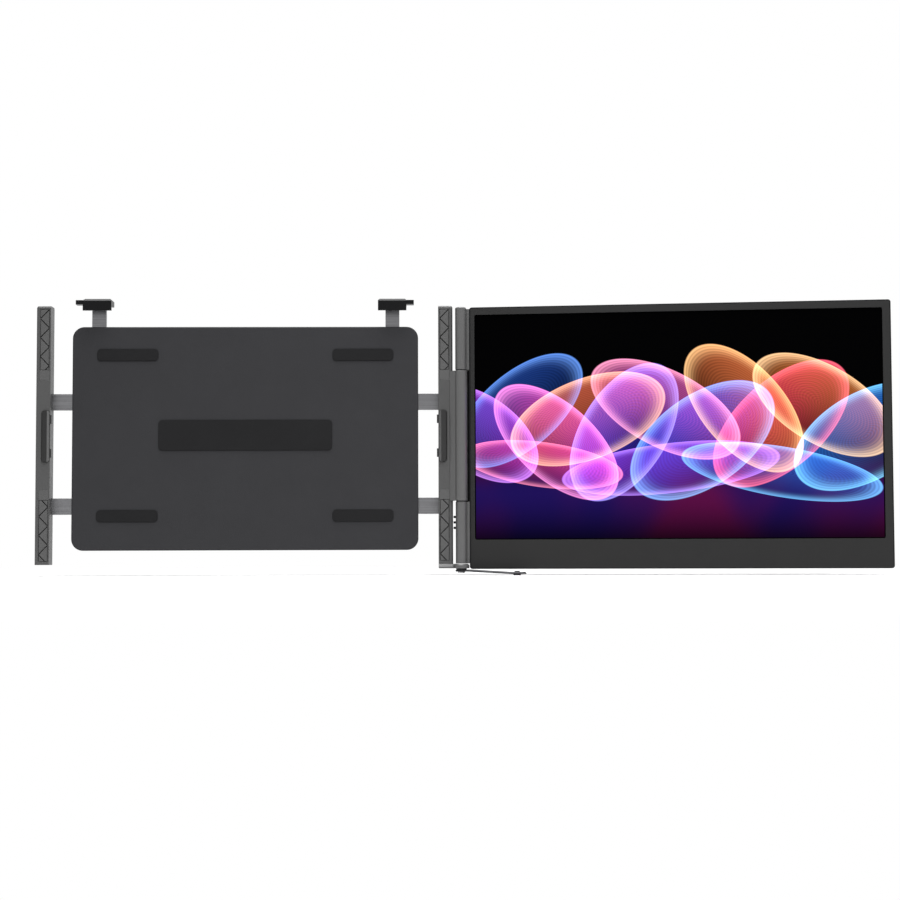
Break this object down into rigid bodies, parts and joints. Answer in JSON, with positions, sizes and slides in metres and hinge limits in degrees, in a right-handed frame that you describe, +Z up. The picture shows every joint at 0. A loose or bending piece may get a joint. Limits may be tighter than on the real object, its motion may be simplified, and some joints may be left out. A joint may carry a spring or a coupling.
{
  "type": "portable monitor",
  "caption": "Clip-on portable monitor on a hinged, width-adjustable lid cradle with side and top clips and a folding support leg.",
  "frame": {"origin": "centre of the front face of the pad that the laptop lid rests on", "axes": "+X to the monitor's side, +Y away from the viewer behind the lid, +Z up along the rails"},
  "size_m": [0.7249, 0.0653, 0.2383],
  "materials": {
    "rail_metal": "satin grey anodised",
    "hinge_metal": "satin grey anodised",
    "inlay_plastic": "fine matte, dark grey",
    "clip_plastic": "fine matte, dark grey",
    "hook_plastic": "satin black",
    "cradle_plastic": "fine grained charcoal",
    "guide_plastic": "black acetal, smooth",
    "brake_felt": "pressed felt",
    "pad_rubber": "matte silicone",
    "slide_steel": "brushed lengthways",
    "pin_steel": "ground and polished",
    "screw_steel": "black zinc",
    "leg_steel": "satin, brushed lengthways",
    "bezel_plastic": "fine matte, charcoal",
    "shell_plastic": "fine matte, near black",
    "screen_glass": "anti-glare, lit from behind",
    "backlight_plastic": "white reflector",
    "board_laminate": "green solder mask",
    "chip_plastic": "moulded black",
    "port_steel": "nickel plated",
    "ribbon_film": "amber film",
    "button_rubber": "matte"
  },
  "bodies": {
    "cradle": {"cradle_front_plate": "cradle_plastic", "cradle_rear_cover": "cradle_plastic", "lid_rest_pad": "pad_rubber", "lid_pads": "pad_rubber", "slide_guides": "guide_plastic", "arm_brakes": "brake_felt", "clip_guides": "guide_plastic", "cradle_screws": "screw_steel"},
    "left_arm": {"left_rail": "rail_metal", "left_rail_back": "rail_metal", "left_slide_bars": "slide_steel", "left_upper_truss": "inlay_plastic", "left_lower_truss": "inlay_plastic", "left_rail_screws": "screw_steel", "left_clip_spring": "slide_steel"},
    "left_clip": {"left_side_clip": "clip_plastic", "left_clip_pads": "pad_rubber"},
    "left_top": {"left_top_clip": "hook_plastic", "left_top_slider": "slide_steel", "left_top_pad": "pad_rubber"},
    "right_arm": {"right_rail": "rail_metal", "right_rail_back": "rail_metal", "right_slide_bars": "slide_steel", "right_upper_truss": "inlay_plastic", "right_lower_truss": "inlay_plastic", "right_rail_screws": "screw_steel", "right_clip_spring": "slide_steel", "hinge_knuckle": "hinge_metal", "hinge_pin": "pin_steel", "knuckle_screws": "screw_steel", "foot_cap": "hinge_metal", "foot_cap_screws": "screw_steel", "leg_rivet": "pin_steel", "leg_washer": "guide_plastic"},
    "right_clip": {"right_side_clip": "clip_plastic", "right_clip_pads": "pad_rubber"},
    "right_top": {"right_top_clip": "hook_plastic", "right_top_slider": "slide_steel", "right_top_pad": "pad_rubber"},
    "leg": {"leg_strip": "leg_steel", "leg_foot": "pad_rubber"},
    "monitor": {"front_bezel": "bezel_plastic", "rear_cover": "shell_plastic", "display_panel": "screen_glass", "backlight": "backlight_plastic", "upper_barrel": "hinge_metal", "lower_barrel": "hinge_metal", "hinge_bushes": "guide_plastic", "main_board": "board_laminate", "board_chips": "chip_plastic", "usb_c_ports": "port_steel", "display_ribbon": "ribbon_film", "speakers": "chip_plastic", "monitor_screws": "screw_steel"},
    "power_button": {"power_button": "button_rubber"},
    "menu_button": {"menu_button": "button_rubber"},
    "back_button": {"back_button": "button_rubber"}
  },
  "joints": [
    {"name": "left_arm_slide", "type": "slide", "parent": "cradle", "child": "left_arm", "axis": [-1, 0, 0], "range_m": [-0.016, 0.03]},
    {"name": "left_clip_slide", "type": "slide", "parent": "left_arm", "child": "left_clip", "axis": [-1, 0, 0], "range_m": [0, 0.0022], "stiffness_N_per_m": 1500, "springref_m": -0.001, "deforming": ["left_clip_spring"]},
    {"name": "left_top_slide", "type": "slide", "parent": "cradle", "child": "left_top", "axis": [0, 0, 1], "range_m": [-0.008, 0.022]},
    {"name": "right_arm_slide", "type": "slide", "parent": "cradle", "child": "right_arm", "axis": [1, 0, 0], "range_m": [-0.016, 0.03]},
    {"name": "right_clip_slide", "type": "slide", "parent": "right_arm", "child": "right_clip", "axis": [1, 0, 0], "range_m": [0, 0.0022], "stiffness_N_per_m": 1500, "springref_m": -0.001, "deforming": ["right_clip_spring"]},
    {"name": "right_top_slide", "type": "slide", "parent": "cradle", "child": "right_top", "axis": [0, 0, 1], "range_m": [-0.008, 0.022]},
    {"name": "monitor_hinge", "type": "hinge", "parent": "right_arm", "child": "monitor", "pos_m": [0.1857, -0.0076, 0], "axis": [0, 0, 1], "range_deg": [-172, 53]},
    {"name": "leg_swivel", "type": "hinge", "parent": "right_arm", "child": "leg", "pos_m": [0.1857, -0.0076, -0.117], "axis": [0, 0, 1], "range_deg": [-150, 60]},
    {"name": "back_button_press", "type": "slide", "parent": "monitor", "child": "back_button", "axis": [0.9903, -0.1392, 0], "range_m": [0, 0.0006], "stiffness_N_per_m": 800, "springref_m": -0.0004},
    {"name": "menu_button_press", "type": "slide", "parent": "monitor", "child": "menu_button", "axis": [0.9903, -0.1392, 0], "range_m": [0, 0.0006], "stiffness_N_per_m": 800, "springref_m": -0.0004},
    {"name": "power_button_press", "type": "slide", "parent": "monitor", "child": "power_button", "axis": [0.9903, -0.1392, 0], "range_m": [0, 0.0006], "stiffness_N_per_m": 800, "springref_m": -0.0004}
  ]
}
